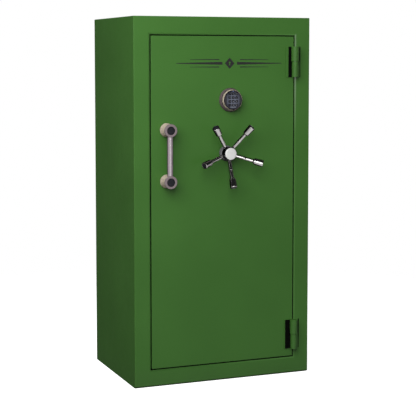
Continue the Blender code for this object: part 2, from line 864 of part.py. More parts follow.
def make_keypad():
    base = turned(
        "keypad_base",
        [
            (QUILL_HOLE_R, 0.0120),
            (0.0455, 0.0120),
            (0.0475, 0.0070),
            (0.0485, 0.0030),
            (0.0485, CLEAR),
            (QUILL_HOLE_R, CLEAR),
        ],
        FINE,
        ring=True,
    )
    as_part(on_door_face(base, KEYPAD_X, KEYPAD_Z), DOOR, NICKEL)

    ring = turned(
        "keypad_ring",
        [
            (0.0400, 0.0305),
            (0.0410, 0.0305),
            (0.0430, 0.0245),
            (0.0430, 0.0123),
            (QUILL_R, 0.0123),
            (QUILL_R, CLEAR - WEB_BACK),
            (0.0053, CLEAR - WEB_BACK),
            (0.0053, 0.0195),
            (0.0400, 0.0195),
        ],
        FINE,
        ring=True,
    )
    as_part(on_door_face(ring, KEYPAD_X, KEYPAD_Z), RING, NICKEL)

    face = turned(
        "keypad_face",
        [
            (0, 0.0335),
            (0.0376, 0.0335),
            (0.0394, 0.0318),
            (0.0394, 0.0199),
            (0.0046, 0.0199),
            (0.0046, -WEB_BACK),
            (0, -WEB_BACK),
        ],
        FINE,
    )
    as_part(on_door_face(face, KEYPAD_X, KEYPAD_Z), DOOR, BLACK)

    wide, tall = KEY_SIZE
    room = 0.0004
    for number in range(12):
        x = KEYPAD_X + (number % 3 - 1) * KEY_PITCH_X
        z = KEY_TOP_Z - (number // 3) * KEY_PITCH_Z
        low = (x - wide / 2, -0.0345, z - tall / 2)
        high = (x + wide / 2, -0.0318, z + tall / 2)
        key = block(f"key_{number + 1}", low, high, 0.0008)
        as_part(key, joint_empty(f"key_{number + 1}_slide", (x, -0.0345, z), DOOR), KEY_BLACK)
        pocket_low = (low[0] - room, -0.0400, low[2] - room)
        pocket_high = (high[0] + room, -0.0300, high[2] + room)
        hollow(face, DOOR, pocket_low, pocket_high)


def main():
    shell = make_shell()
    make_frame()
    board, liner, floor = make_lining()
    make_anchor_holes((shell, board, liner))
    make_seal()
    make_fittings(floor)
    for name, (low, middle, high) in HINGES.items():
        make_hinge(name, low, middle, high)
    make_door()
    make_dead_bolts()
    make_pinion_shaft()
    make_side_bolts()
    make_end_bolts("top_bolt_bar", TOP_BOLTS, 1)
    make_end_bolts("bottom_bolt_bar", BOTTOM_BOLTS, -1)
    make_lock()
    make_handle()
    make_pull_handle()
    make_keypad()
    for obj in PARTS.objects:
        if obj.type == "MESH":
            smooth(obj.data)
    ROOT.location = (0, -DEPTH / 2, 0)
    bpy.context.view_layer.update()


main()
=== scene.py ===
"""Looks of the gun safe: fine pieces, finishes, light and camera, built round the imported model.

Metres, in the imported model's frame: +Z up, the door faces -Y, the hinges are on the +X side.
"""

import json
import math

import bmesh
import bpy
import numpy as np
from mathutils import Matrix, Vector


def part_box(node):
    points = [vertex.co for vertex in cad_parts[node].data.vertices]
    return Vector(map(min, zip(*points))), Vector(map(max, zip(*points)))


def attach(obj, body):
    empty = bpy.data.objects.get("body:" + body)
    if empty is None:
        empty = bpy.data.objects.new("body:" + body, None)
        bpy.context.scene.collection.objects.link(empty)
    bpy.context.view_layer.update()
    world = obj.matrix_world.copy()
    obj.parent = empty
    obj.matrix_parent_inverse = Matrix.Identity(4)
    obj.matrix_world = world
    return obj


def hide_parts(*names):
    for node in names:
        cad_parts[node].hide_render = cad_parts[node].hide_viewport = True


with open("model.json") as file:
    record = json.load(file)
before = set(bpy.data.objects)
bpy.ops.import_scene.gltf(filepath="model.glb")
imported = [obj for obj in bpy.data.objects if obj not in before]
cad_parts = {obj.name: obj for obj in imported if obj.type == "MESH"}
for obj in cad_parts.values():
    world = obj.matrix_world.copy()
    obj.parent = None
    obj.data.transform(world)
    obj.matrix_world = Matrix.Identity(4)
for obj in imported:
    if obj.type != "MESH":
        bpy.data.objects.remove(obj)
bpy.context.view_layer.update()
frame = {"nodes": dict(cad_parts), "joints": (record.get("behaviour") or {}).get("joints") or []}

# Places read from the frame
SHELL_LOW, SHELL_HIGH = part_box("outer_shell")
PLATE_LOW, PLATE_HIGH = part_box("door_plate")
PAN_LOW, PAN_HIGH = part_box("door_pan")
PANEL_LOW, PANEL_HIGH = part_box("inner_panel")
FRAME_LOW, FRAME_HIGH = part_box("front_frame")
FACE = PLATE_LOW.y

# Sheet steel
STEEL = 0.004
DOOR_GAP = 0.005
FOOT_HEIGHT = 0.0072
FOOT_DEPTH = 0.0086
BEND_RADIUS = 0.003
PLATE_EDGE = 0.0015
GLOSS_HEIGHTS = (1.02, 1.20)
ANCHOR_RADIUS = 0.007

# The rim of the door opening: (depth behind the face, how far it is wider than the opening)
MOUTH_PROFILE = (
    (-0.003, 0.0088),
    (0.0, 0.0066),
    (0.0004, 0.0053),
    (0.0026, 0.0004),
    (0.0033, 0.0),
    (0.0062, 0.0),
)
GAP_FIN = 0.0036
HINGE_X = next(j["pos_m"][0] for j in frame["joints"] if j["name"] == "door_swing")
FRAME_KNUCKLE_RADIUS = 0.0130
PIN_BORE = 0.0065
SHAFT_HOLE = 0.0102
QUILL_HOLE = 0.0097

# Roundness of turned pieces
FINE = 96
ROUND = 64
FILLET_STEPS = 4


# ------------------------------------------------------------------ mesh helpers


def as_object(name, form):
    """A bmesh as an object, its faces turned outwards."""
    bmesh.ops.recalc_face_normals(form, faces=form.faces)
    mesh = bpy.data.meshes.new(name)
    form.to_mesh(mesh)
    form.free()
    obj = bpy.data.objects.new(name, mesh)
    bpy.context.scene.collection.objects.link(obj)
    return obj


def finish(obj, material, body, slot, *nodes):
    """Shade a piece, give it its material, and tie it to the frame."""
    obj.data.shade_smooth()
    obj.data.set_sharp_from_angle(angle=math.radians(38))
    weighted = obj.modifiers.new("weighted_normals", "WEIGHTED_NORMAL")
    weighted.keep_sharp = True
    if not obj.data.materials:
        obj.data.materials.append(material)
    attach(obj, body)
    if nodes:
        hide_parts(*nodes)
    return obj


def apply_modifiers(obj):
    graph = bpy.context.evaluated_depsgraph_get()
    made = bpy.data.meshes.new_from_object(obj.evaluated_get(graph), depsgraph=graph)
    obj.modifiers.clear()
    obj.data = made


def combine(target, tools, operation="DIFFERENCE"):
    """Boolean each tool into the target, and remove the tools."""
    for tool in tools:
        modifier = target.modifiers.new(tool.name, "BOOLEAN")
        modifier.operation = operation
        modifier.solver = "EXACT"
        modifier.object = tool
    bpy.context.view_layer.update()
    apply_modifiers(target)
    for tool in tools:
        bpy.data.objects.remove(tool)
    return target


def rounded(outline, closed=False):
    """Replace each (r, h, fillet) corner of an outline by a short arc."""
    points = []
    count = len(outline)
    for index, corner in enumerate(outline):
        here = Vector(corner[:2])
        fillet = corner[2] if len(corner) > 2 else 0
        at_end = not closed and index in (0, count - 1)
        if at_end or not fillet:
            points.append(here)
            continue
        before = Vector(outline[index - 1][:2]) - here
        after = Vector(outline[(index + 1) % count][:2]) - here
        reach = min(fillet, before.length * 0.49, after.length * 0.49)
        start, end = here + before.normalized() * reach, here + after.normalized() * reach
        for step in range(FILLET_STEPS + 1):
            share = step / FILLET_STEPS
            points.append(start.lerp(here, share).lerp(here.lerp(end, share), share))
    return points


def lathe(name, outline, place, closed=False, sides=FINE, ridges=None):
    """Turn (radius, height[, fillet]) corners about a local Z axis placed by a matrix.

    ridges = (count, depth, low, high) cuts a coin edge between two heights.
    """
    points = rounded(outline, closed)
    if ridges:
        count, depth, low, high = ridges
        sides = count * 4
        rim = max(point.x for point in points) - 2 * depth
    form = bmesh.new()
    rings = []
    for point in points:
        if point.x < 1e-7:
            rings.append([form.verts.new((0, 0, point.y))] * sides)
            continue
        ring = []
        for side in range(sides):
            radius = point.x
            if ridges and radius > rim and low < point.y < high and side % 4 in (2, 3):
                radius -= depth
            angle = math.tau * side / sides
            ring.append(form.verts.new((radius * math.cos(angle), radius * math.sin(angle), point.y)))
        rings.append(ring)
    pairs = list(zip(rings, rings[1:]))
    if closed:
        pairs.append((rings[-1], rings[0]))
    for first, second in pairs:
        for side in range(sides):
            after = (side + 1) % sides
            loop = []
            for vert in (first[side], first[after], second[after], second[side]):
                if vert not in loop:
                    loop.append(vert)
            if len(loop) > 2:
                form.faces.new(loop)
    obj = as_object(name, form)
    obj.matrix_world = place
    return obj


def on_face(axis, stand_off=0.0):
    """A place on the door's face: local +Z points out of the safe."""
    place = Matrix.Translation((axis[0], FACE - stand_off, axis[1]))
    return place @ Matrix.Rotation(math.pi / 2, 4, "X")


def along(start, direction):
    """A place whose local +Z runs along a direction from a point."""
    return Matrix.Translation(start) @ direction.to_track_quat("Z", "Y").to_matrix().to_4x4()


def slab(name, low, high, corner=0.0, edge=0.0, axis=1, steps=4, edge_low=True, edge_high=True):
    """A box whose four edges along one axis are rounded by corner, and whose two faces by edge."""
    low, high = Vector(low), Vector(high)
    form = bmesh.new()
    bmesh.ops.create_cube(form, size=1)
    bmesh.ops.scale(form, vec=high - low, verts=form.verts)
    bmesh.ops.translate(form, vec=(low + high) / 2, verts=form.verts)
    if corner:
        uprights = [e for e in form.edges if abs(e.verts[0].co[axis] - e.verts[1].co[axis]) > 1e-6]
        bmesh.ops.bevel(form, geom=uprights, offset=corner, segments=steps, profile=0.5, affect="EDGES")
    if edge:
        rims = []
        for wanted, level in ((edge_low, low[axis]), (edge_high, high[axis])):
            if wanted:
                rims += [e for e in form.edges if all(abs(v.co[axis] - level) < 1e-6 for v in e.verts)]
        bmesh.ops.bevel(form, geom=rims, offset=edge, segments=steps, profile=0.5, affect="EDGES")
    return as_object(name, form)


def cylinder(name, start, end, radius, sides=ROUND):
    """A plain round tool for cutting holes."""
    start, end = Vector(start), Vector(end)
    outline = [(0, 0), (radius, 0), (radius, (end - start).length), (0, (end - start).length)]
    return lathe(name, outline, along(start, (end - start).normalized()), sides=sides)


def measure(node):
    """A turned node's axis (x, z), radius, and how far its back and front stand off the door."""
    low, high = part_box(node)
    axis = ((low.x + high.x) / 2, (low.z + high.z) / 2)
    return axis, (high.x - low.x) / 2, FACE - high.y, FACE - low.y


def line_of(node, away_from):
    """The ends of a long turned node's axis, nearest end first."""
    points = np.array([v.co for v in frame["nodes"][node].data.vertices], float)
    points = np.unique(points.round(6), axis=0)
    centre = points.mean(0)
    heading = np.linalg.svd(points - centre)[2][0]
    if np.dot(heading, centre - np.array(away_from)) < 0:
        heading = -heading
    spans = (points - centre) @ heading
    return Vector(centre + heading * spans.min()), Vector(centre + heading * spans.max())


# ------------------------------------------------------------------ material helpers


def shader_of(name, roughness, metallic=0.0, **settings):
    """A new material with its Principled shader; settings are values the same all over."""
    material = bpy.data.materials.new(name)
    material.use_nodes = True
    tree = material.node_tree
    shader = tree.nodes["Principled BSDF"]
    shader.inputs["Roughness"].default_value = roughness
    shader.inputs["Metallic"].default_value = metallic
    for key, value in settings.items():
        shader.inputs[key.replace("_", " ")].default_value = value
    return material, tree, shader


def add(tree, kind, inputs=None, **settings):
    """A node with its settings; inputs may be sockets to link or values."""
    made = tree.nodes.new(kind)
    for key, value in settings.items():
        setattr(made, key, value)
    for key, value in (inputs or {}).items():
        if isinstance(value, bpy.types.NodeSocket):
            tree.links.new(value, made.inputs[key])
        else:
            made.inputs[key].default_value = value
    return made


def place_of(tree, stretch=(1, 1, 1)):
    """Object coordinates in metres, stretched."""
    coords = add(tree, "ShaderNodeTexCoord").outputs["Object"]
    return add(tree, "ShaderNodeMapping", {"Vector": coords, "Scale": stretch}).outputs[0]


def noise(tree, vector, size, detail=3.0, roughness=0.55):
    """Noise whose lumps are about size metres across."""
    made = add(
        tree, "ShaderNodeTexNoise",
        {"Vector": vector, "Scale": 1 / size, "Detail": detail, "Roughness": roughness},
    )
    return made.outputs["Fac"]


def spread(tree, value, low, high, to_low, to_high):
    made = add(
        tree, "ShaderNodeMapRange",
        {"Value": value, "From Min": low, "From Max": high, "To Min": to_low, "To Max": to_high},
    )
    return made.outputs[0]


def blend(tree, share, first, second, blend_type="MIX"):
    """A colour between two, each a socket or an (r, g, b)."""
    made = add(tree, "ShaderNodeMix", data_type="RGBA", blend_type=blend_type)
    for index, value in ((0, share), (6, first), (7, second)):
        if isinstance(value, bpy.types.NodeSocket):
            tree.links.new(value, made.inputs[index])
        elif index == 0:
            made.inputs[index].default_value = value
        else:
            made.inputs[index].default_value = (*value, 1)
    return made.outputs[2]


def combine_values(tree, operation, first, second):
    made = add(tree, "ShaderNodeMath", {0: first, 1: second}, operation=operation)
    return made.outputs[0]


def times(tree, first, second):
    return combine_values(tree, "MULTIPLY", first, second)


def split(tree, vector):
    """The X, Y and Z of a vector."""
    return add(tree, "ShaderNodeSeparateXYZ", {"Vector": vector}).outputs


def link(tree, socket, shader, name):
    tree.links.new(socket, shader.inputs[name])


def bump(tree, shader, layers):
    """Stack (height, distance in metres, strength) bumps into the shader's normal."""
    normal = None
    for height, distance, strength in layers:
        inputs = {"Height": height, "Distance": distance, "Strength": strength}
        if normal:
            inputs["Normal"] = normal
        normal = add(tree, "ShaderNodeBump", inputs).outputs[0]
    link(tree, normal, shader, "Normal")


def turning(tree, pitch):
    """Fine grooves left by turning about local Z, a wave along the radius and the height."""
    x, y, z = split(tree, place_of(tree))
    square = combine_values(tree, "ADD", times(tree, x, x), times(tree, y, y))
    radius = combine_values(tree, "POWER", square, 0.5)
    travel = combine_values(tree, "ADD", radius, z)
    return combine_values(tree, "SINE", times(tree, travel, math.tau / pitch), 0.0)


# ------------------------------------------------------------------ finishes


def powder_coat(name, gloss=0.0):
    """Satin green powder coat: orange peel, fine speckle, colour darker towards the bottom, and gloss
    where it flowed.

    The gloss fades out below the upper hinge.
    """
    coat = {"Coat_Weight": gloss, "Coat_Roughness": 0.10, "Coat_IOR": 1.8}
    material, tree, shader = shader_of(name, 0.42, IOR=1.42, Specular_IOR_Level=0.35, **coat)
    vector = place_of(tree)
    broad = noise(tree, vector, 0.35, 2)
    speckle = noise(tree, vector, 0.0016, 2)
    clouds = spread(tree, broad, 0.35, 0.65, 0, 1)
    base = blend(tree, clouds, (0.0368, 0.116, 0.0185), (0.0420, 0.129, 0.0215))
    fleck = spread(tree, speckle, 0.62, 0.74, 0, 0.55)
    base = blend(tree, fleck, base, (0.060, 0.165, 0.035))
    pit = spread(tree, speckle, 0.38, 0.28, 0, 0.45)
    base = blend(tree, pit, base, (0.018, 0.066, 0.011))
    height = split(tree, vector)[2]
    # Darker towards the bottom: up to 0.30 of a dark grey-green mixed in over the lowest 0.10 m, broken
    # up by noise.
    low = spread(tree, height, 0.0, 0.10, 0.30, 0.0)
    darker_low_down = times(tree, low, noise(tree, vector, 0.018, 4))
    base = blend(tree, darker_low_down, base, (0.030, 0.045, 0.024))
    link(tree, base, shader, "Base Color")
    if gloss:
        link(tree, spread(tree, height, *GLOSS_HEIGHTS, 0, gloss), shader, "Coat Weight")
    link(tree, spread(tree, noise(tree, vector, 0.09, 4), 0.3, 0.7, 0.37, 0.48), shader, "Roughness")
    bump(tree, shader, [(noise(tree, vector, 0.0045, 2), 0.00022, 0.35), (speckle, 0.00008, 0.25)])
    return material


def polished(name, colour, low, high, peel=0.00003, metallic=1.0):
    """Plated, polished metal with faint smudges and the trace of a buffing wheel."""
    material, tree, shader = shader_of(name, low, metallic)
    vector = place_of(tree)
    smudge = noise(tree, vector, 0.012, 4, 0.6)
    dull = tuple(channel * 0.90 for channel in colour)
    link(tree, blend(tree, spread(tree, smudge, 0.45, 0.7, 0, 1), colour, dull), shader, "Base Color")
    link(tree, spread(tree, smudge, 0.35, 0.72, low, high), shader, "Roughness")
    fine = noise(tree, place_of(tree, (1, 1, 0.12)), 0.0011, 3)
    bump(tree, shader, [(noise(tree, vector, 0.009, 1), peel, 0.12), (fine, peel * 0.4, 0.08)])
    return material


def turned_metal(name, colour, low, high, pitch, depth=0.00005, tint=0.80, metallic=1.0):
    """Satin metal straight from the lathe, with rings a pitch apart whose troughs are darkened in
    colour as painted shade; less metallic where lacquered.
    """
    material, tree, shader = shader_of(name, low, metallic)
    rings = turning(tree, pitch)
    vector = place_of(tree)
    cloud = noise(tree, vector, 0.010, 4, 0.6)
    # Painted shade: the colour darkens by tint in the troughs of the turning rings.
    groove = spread(tree, rings, -1.0, -0.1, 0.75, 0.0)
    dark = tuple(channel * tint for channel in colour)
    soft = tuple(channel * 1.05 for channel in colour)
    base = blend(tree, spread(tree, cloud, 0.35, 0.7, 0, 1), colour, soft)
    link(tree, blend(tree, groove, base, dark), shader, "Base Color")
    link(tree, spread(tree, cloud, 0.3, 0.7, low, high), shader, "Roughness")
    bump(tree, shader, [(rings, depth, 0.5), (noise(tree, vector, 0.0007, 2), 0.00002, 0.2)])
    return material


def zinc():
    """Bright zinc plate with its faint spangle and a yellow cast."""
    material, tree, shader = shader_of("zinc_plate_fine", 0.35, 1.0)
    vector = place_of(tree)
    spangle = add(tree, "ShaderNodeTexVoronoi", {"Vector": vector, "Scale": 160.0}).outputs["Color"]
    grey = add(tree, "ShaderNodeSeparateColor", {"Color": spangle}).outputs[0]
    base = blend(tree, grey, (0.56, 0.55, 0.50), (0.66, 0.64, 0.56))
    stain = spread(tree, noise(tree, vector, 0.03, 4), 0.52, 0.68, 0, 0.5)
    link(tree, blend(tree, stain, base, (0.56, 0.50, 0.34)), shader, "Base Color")
    link(tree, spread(tree, grey, 0, 1, 0.28, 0.42), shader, "Roughness")
    bump(tree, shader, [(noise(tree, vector, 0.0012, 3), 0.00004, 0.3)])
    return material


def gloss_black(name, colour, low, high, index=1.48, rim=None):
    """Moulded plastic, faintly mottled, with hairline wiping marks; an optional rim colour paints shade
    toward its outer edge.
    """
    material, tree, shader = shader_of(name, low, IOR=index)
    vector = place_of(tree)
    mottle = noise(tree, vector, 0.006, 4)
    lighter = tuple(channel * 1.5 + 0.002 for channel in colour)
    base = blend(tree, spread(tree, mottle, 0.4, 0.75, 0, 1), colour, lighter)
    # Painted shade: the colour runs toward the rim colour from 14 to 35 mm off the axis.
    if rim:
        reach = add(tree, "ShaderNodeVectorMath", {0: place_of(tree, (1, 1, 0))}, operation="LENGTH")
        base = blend(tree, spread(tree, reach.outputs["Value"], 0.014, 0.035, 0.0, 1.0), base, rim)
    link(tree, base, shader, "Base Color")
    wipes = noise(tree, place_of(tree, (1.0, 0.08, 1.0)), 0.0012, 3)
    link(tree, spread(tree, wipes, 0.4, 0.7, low, high), shader, "Roughness")
    bump(tree, shader, [(noise(tree, vector, 0.0008, 2), 0.00002, 0.2)])
    return material


def carpet():
    """Short grey needle-punched carpet: tufts, stray light fibres, and a soft sheen."""
    sheen = {"Sheen_Weight": 0.35, "Sheen_Roughness": 0.45}
    material, tree, shader = shader_of("grey_carpet_fine", 0.95, **sheen)
    vector = place_of(tree)
    tufts = noise(tree, vector, 0.0032, 5, 0.65)
    fibres = noise(tree, place_of(tree, (1.0, 1.0, 0.25)), 0.0012, 3, 0.7)
    worn = noise(tree, vector, 0.12, 3)
    lit = spread(tree, tufts, 0.3, 0.7, 0, 1)
    base = blend(tree, lit, (0.060, 0.059, 0.058), (0.185, 0.180, 0.174))
    base = blend(tree, spread(tree, fibres, 0.6, 0.75, 0, 0.6), base, (0.33, 0.32, 0.31))
    base = blend(tree, spread(tree, worn, 0.4, 0.7, 0, 0.35), base, (0.10, 0.097, 0.094))
    link(tree, base, shader, "Base Color")
    bump(tree, shader, [(tufts, 0.0018, 0.8), (fibres, 0.0006, 0.6)])
    return material


def fireboard():
    """Paper-faced gypsum board: grey-cream liner paper with fibres and scuffs."""
    material, tree, shader = shader_of("fireboard_fine", 0.9)
    vector = place_of(tree)
    fibres = noise(tree, place_of(tree, (1, 1, 0.2)), 0.0018, 4, 0.7)
    base = blend(tree, spread(tree, fibres, 0.35, 0.7, 0, 1), (0.60, 0.58, 0.53), (0.74, 0.72, 0.67))
    scuff = spread(tree, noise(tree, vector, 0.05, 5), 0.55, 0.7, 0, 0.35)
    link(tree, blend(tree, scuff, base, (0.45, 0.43, 0.39)), shader, "Base Color")
    bump(tree, shader, [(fibres, 0.0002, 0.4)])
    return material


def rubber(name, colour, shine=0.5):
    """Matt seal strip with a dusty bloom; with a near-black colour and little shine it also makes the
    black used as painted shade.
    """
    material, tree, shader = shader_of(name, 0.75, Specular_IOR_Level=shine)
    vector = place_of(tree)
    bloom = noise(tree, vector, 0.01, 5)
    lighter = tuple(channel * 2.2 for channel in colour)
    dusty = spread(tree, bloom, 0.45, 0.75, 0, 0.8)
    link(tree, blend(tree, dusty, colour, lighter), shader, "Base Color")
    link(tree, spread(tree, bloom, 0.3, 0.7, 0.62, 0.85), shader, "Roughness")
    bump(tree, shader, [(noise(tree, vector, 0.0006, 3), 0.00006, 0.5)])
    return material


def printed(name, colour, wear):
    """Printed ink, worn thin in specks."""
    material, tree, shader = shader_of(name, 0.5)
    specks = spread(tree, noise(tree, place_of(tree), 0.0012, 4), 0.62, 0.74, 0, 0.6)
    link(tree, blend(tree, specks, colour, wear), shader, "Base Color")
    bump(tree, shader, [(noise(tree, place_of(tree), 0.0006, 2), 0.00002, 0.3)])
    return material


GREEN = powder_coat("green_powder_coat_fine")
GLOSSY_GREEN = powder_coat("green_flowed_coat", 1.0)
CHROME = polished("chrome_fine", (0.70, 0.69, 0.68), 0.05, 0.14)
BAR_CHROME = polished("bar_chrome", (0.52, 0.455, 0.49), 0.12, 0.22, metallic=0.85)
ROSE_NICKEL = turned_metal("rose_nickel", (0.15, 0.15, 0.155), 0.26, 0.36, 0.0010, 0.00002, 0.88, 0.35)
HUB_CHROME = polished("hub_chrome", (0.10, 0.10, 0.11), 0.08, 0.18)
CAP_NICKEL = turned_metal("cap_nickel", (0.74, 0.74, 0.72), 0.34, 0.42, 0.0009, 0.00002, 0.94, 0.35)
TAN_NICKEL = turned_metal("post_nickel", (0.56, 0.47, 0.37), 0.44, 0.54, 0.0022, 0.00008, 0.66, 0.30)
MAUVE_NICKEL = turned_metal("ring_nickel", (0.25, 0.20, 0.21), 0.38, 0.48, 0.0011, 0.00003, 0.85, 0.45)
FLANGE_NICKEL = turned_metal(
    "flange_nickel", (0.155, 0.120, 0.122), 0.34, 0.44, 0.0011, 0.00003, 0.80, 0.45
)
GRIP_NICKEL = turned_metal("grip_nickel", (0.060, 0.050, 0.048), 0.26, 0.36, 0.0013, 0.00003, 0.80, 0.6)
BEIGE_NICKEL = turned_metal("bevel_nickel", (0.54, 0.46, 0.36), 0.42, 0.52, 0.0010, 0.00003, 0.88, 0.30)
STEEL_GREY = turned_metal("turned_steel", (0.46, 0.46, 0.46), 0.26, 0.38, 0.0008)
ZINC = zinc()
BLACK = gloss_black("gloss_black", (0.010, 0.010, 0.013), 0.10, 0.20)
# Painted shade: the membrane darkens to its rim colour toward the edge.
MEMBRANE = gloss_black("keypad_membrane", (0.090, 0.098, 0.130), 0.24, 0.36, rim=(0.016, 0.017, 0.028))
KEY_BLACK = gloss_black("key_black", (0.007, 0.007, 0.010), 0.30, 0.42, 1.35)
LENS = gloss_black("lens_blue", (0.10, 0.13, 0.30), 0.06, 0.12)
BAR_GREY = gloss_black("bar_grey", (0.13, 0.14, 0.17), 0.24, 0.34)
LEGEND = printed("legend_grey", (0.22, 0.22, 0.25), (0.08, 0.08, 0.09))
DECAL = printed("decal_black", (0.010, 0.010, 0.010), (0.03, 0.05, 0.022))
CARPET = carpet()
BOARD = fireboard()
SEAL = rubber("door_seal_fine", (0.022, 0.021, 0.020))
# Painted shade: near-black and almost unreflecting, for the fin in the door gap and the painted hinge
# shadows.
SHADE_BLACK = rubber("painted_shade_black", (0.0026, 0.0032, 0.0024), 0.02)


# ------------------------------------------------------------------ body and door


def make_body():
    """The folded body: bent edges, an undercut foot, the door opening, anchor holes, a back seam."""
    form = bmesh.new()
    size = SHELL_HIGH - SHELL_LOW
    bmesh.ops.create_cube(form, size=1)
    bmesh.ops.scale(form, vec=size, verts=form.verts)
    bmesh.ops.translate(form, vec=(SHELL_LOW + SHELL_HIGH) / 2, verts=form.verts)
    body = as_object("body_shell", form)
    bends = body.modifiers.new("bends", "BEVEL")
    bends.width = BEND_RADIUS
    bends.segments = 4
    bends.angle_limit = math.radians(50)
    apply_modifiers(body)
    inner_low = SHELL_LOW + Vector((STEEL, STEEL, STEEL))
    inner_high = SHELL_HIGH - Vector((STEEL, STEEL, STEEL))
    space = combine(slab("space", inner_low, inner_high), [foot_tool(STEEL + 0.002)])
    tools = [space, foot_tool(0.0), mouth_tool()]
    for x in (-0.22, 0.22):
        for y in (-0.1075, 0.1325):
            tools.append(cylinder("anchor", (x, y, -0.01), (x, y, 0.01), ANCHOR_RADIUS, 32))
    back = SHELL_HIGH.y
    for low, high in seam_strips(0.016, 0.0016):
        tools.append(slab("seam", (low[0], back - 0.0009, low[1]), (high[0], back + 0.01, high[1])))
    combine(body, tools)
    body.visible_glossy = False
    right = door_opening(0.008)[1][0]
    flow(body, lambda at: 0.00002 < at.y - FACE < 0.0034 and PLATE_HIGH.x < at.x < right)
    finish(body, GREEN, "cabinet", "green_powder_coat", "outer_shell")


def flow(piece, chosen):
    """Green all over, with the flowed coat on the faces whose centre is chosen."""
    piece.data.materials.clear()
    piece.data.materials.append(GREEN)
    piece.data.materials.append(GLOSSY_GREEN)
    for face in piece.data.polygons:
        face.material_index = int(chosen(piece.matrix_world @ face.center))


def foot_tool(inset):
    """A wedge that turns the front's lower edge under, or its inside when inset."""
    form = bmesh.new()
    slope = FOOT_HEIGHT / FOOT_DEPTH
    ahead, under = 0.02, 0.02
    side = (
        (FACE + inset - ahead, FOOT_HEIGHT + inset + slope * ahead),
        (FACE + inset + FOOT_DEPTH + under / slope, inset - under),
        (FACE + inset - ahead, inset - under),
    )
    span = (SHELL_LOW.x - 0.01, SHELL_HIGH.x + 0.01)
    ends = [[form.verts.new((x, y, z)) for y, z in side] for x in span]
    form.faces.new(ends[0])
    form.faces.new(ends[1])
    for index in range(3):
        after = (index + 1) % 3
        form.faces.new((ends[0][index], ends[0][after], ends[1][after], ends[1][index]))
    return as_object("foot", form)


def door_opening(margin=0.0):
    """The door opening's lowest and highest (x, z), grown by a margin."""
    grow = DOOR_GAP + margin
    return (PLATE_LOW.x - grow, PLATE_LOW.z - grow), (PLATE_HIGH.x + grow, PLATE_HIGH.z + grow)


def mouth_tool():
    """A tool for the door opening, whose rim is coined to a shallow bevel."""
    form = bmesh.new()
    rings = []
    for depth, margin in MOUTH_PROFILE:
        low, high = door_opening(margin)
        corners = [(low[0], low[1]), (high[0], low[1]), (high[0], high[1]), (low[0], high[1])]
        rings.append([form.verts.new((x, FACE + depth, z)) for x, z in corners])
    for first, second in zip(rings, rings[1:]):
        for side in range(4):
            after = (side + 1) % 4
            form.faces.new((first[side], first[after], second[after], second[side]))
    form.faces.new(rings[0])
    form.faces.new(rings[-1])
    return as_object("mouth", form)


def make_gap_shade_fin():
    """A black fin set just behind the rim of the opening, all round the door: painted shade that keeps
    the door gap black.
    """
    low, high = door_opening(0.0004)
    inner_low, inner_high = door_opening(-GAP_FIN)
    front, back = FACE + 0.0031, FACE + 0.0039
    seal = slab("gap_shade_fin", (low[0], front, low[1]), (high[0], back, high[1]))
    hole_low = (inner_low[0], front - 0.01, inner_low[1])
    hole_high = (inner_high[0], back + 0.01, inner_high[1])
    combine(seal, [slab("hole", hole_low, hole_high)])
    finish(seal, SHADE_BLACK, "cabinet", "seal_strip")


def seam_strips(inset, width):
    """Four thin strips in X and Z, round the back panel."""
    left, right = SHELL_LOW.x + inset, SHELL_HIGH.x - inset
    low, high = SHELL_LOW.z + inset, SHELL_HIGH.z - inset
    return [
        ((left, low), (left + width, high)), ((right - width, low), (right, high)),
        ((left + width / 2, low), (right - width / 2, low + width)),
        ((left + width / 2, high - width), (right - width / 2, high)),
    ]


def make_door_skin():
    skin = slab("door_skin", PLATE_LOW, PLATE_HIGH, corner=0.0015, edge=PLATE_EDGE)
    tools = []
    for node, radius in (("handle_escutcheon", SHAFT_HOLE), ("keypad_base", QUILL_HOLE)):
        axis = measure(node)[0]
        start, end = (axis[0], PLATE_LOW.y - 0.01, axis[1]), (axis[0], PLATE_HIGH.y + 0.01, axis[1])
        tools.append(cylinder("hole", start, end, radius, 48))
    combine(skin, tools)
    skin.visible_glossy = False
    finish(skin, GREEN, "door", "green_powder_coat", "door_plate")


def make_hinges():
    """Barrels with rounded rims, door leaves, and black strips beside the barrels that paint their
    shadows.
    """
    # band: how far from the left of the door knuckle each painted barrel shadow starts.
    for level, band in (("upper", 0.0115), ("lower", 0.0020)):
        make_door_knuckle(f"door_knuckle_{level}")
        make_frame_knuckle(f"frame_knuckle_{level}")
        make_leaves(level, band)


def make_door_knuckle(node):
    low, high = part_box(node)
    radius = high.x - HINGE_X
    centre = low.y + radius
    tall = high.z - low.z
    barrel = lathe(
        f"{node}_barrel",
        [
            (0, tall), (radius, tall, 0.0022), (radius, 0, 0.0014), (PIN_BORE, 0),
            (PIN_BORE, tall - 0.009), (0, tall - 0.009),
        ],
        Matrix.Translation((HINGE_X, centre, low.z)),
    )
    web = slab(
        "web",
        (HINGE_X - radius, high.y - 0.0034, low.z + 0.0003), (HINGE_X + 0.002, high.y, high.z - 0.0003),
    )
    combine(barrel, [web], "UNION")
    barrel.visible_glossy = False
    finish(barrel, GREEN, "door", "green_powder_coat", node)


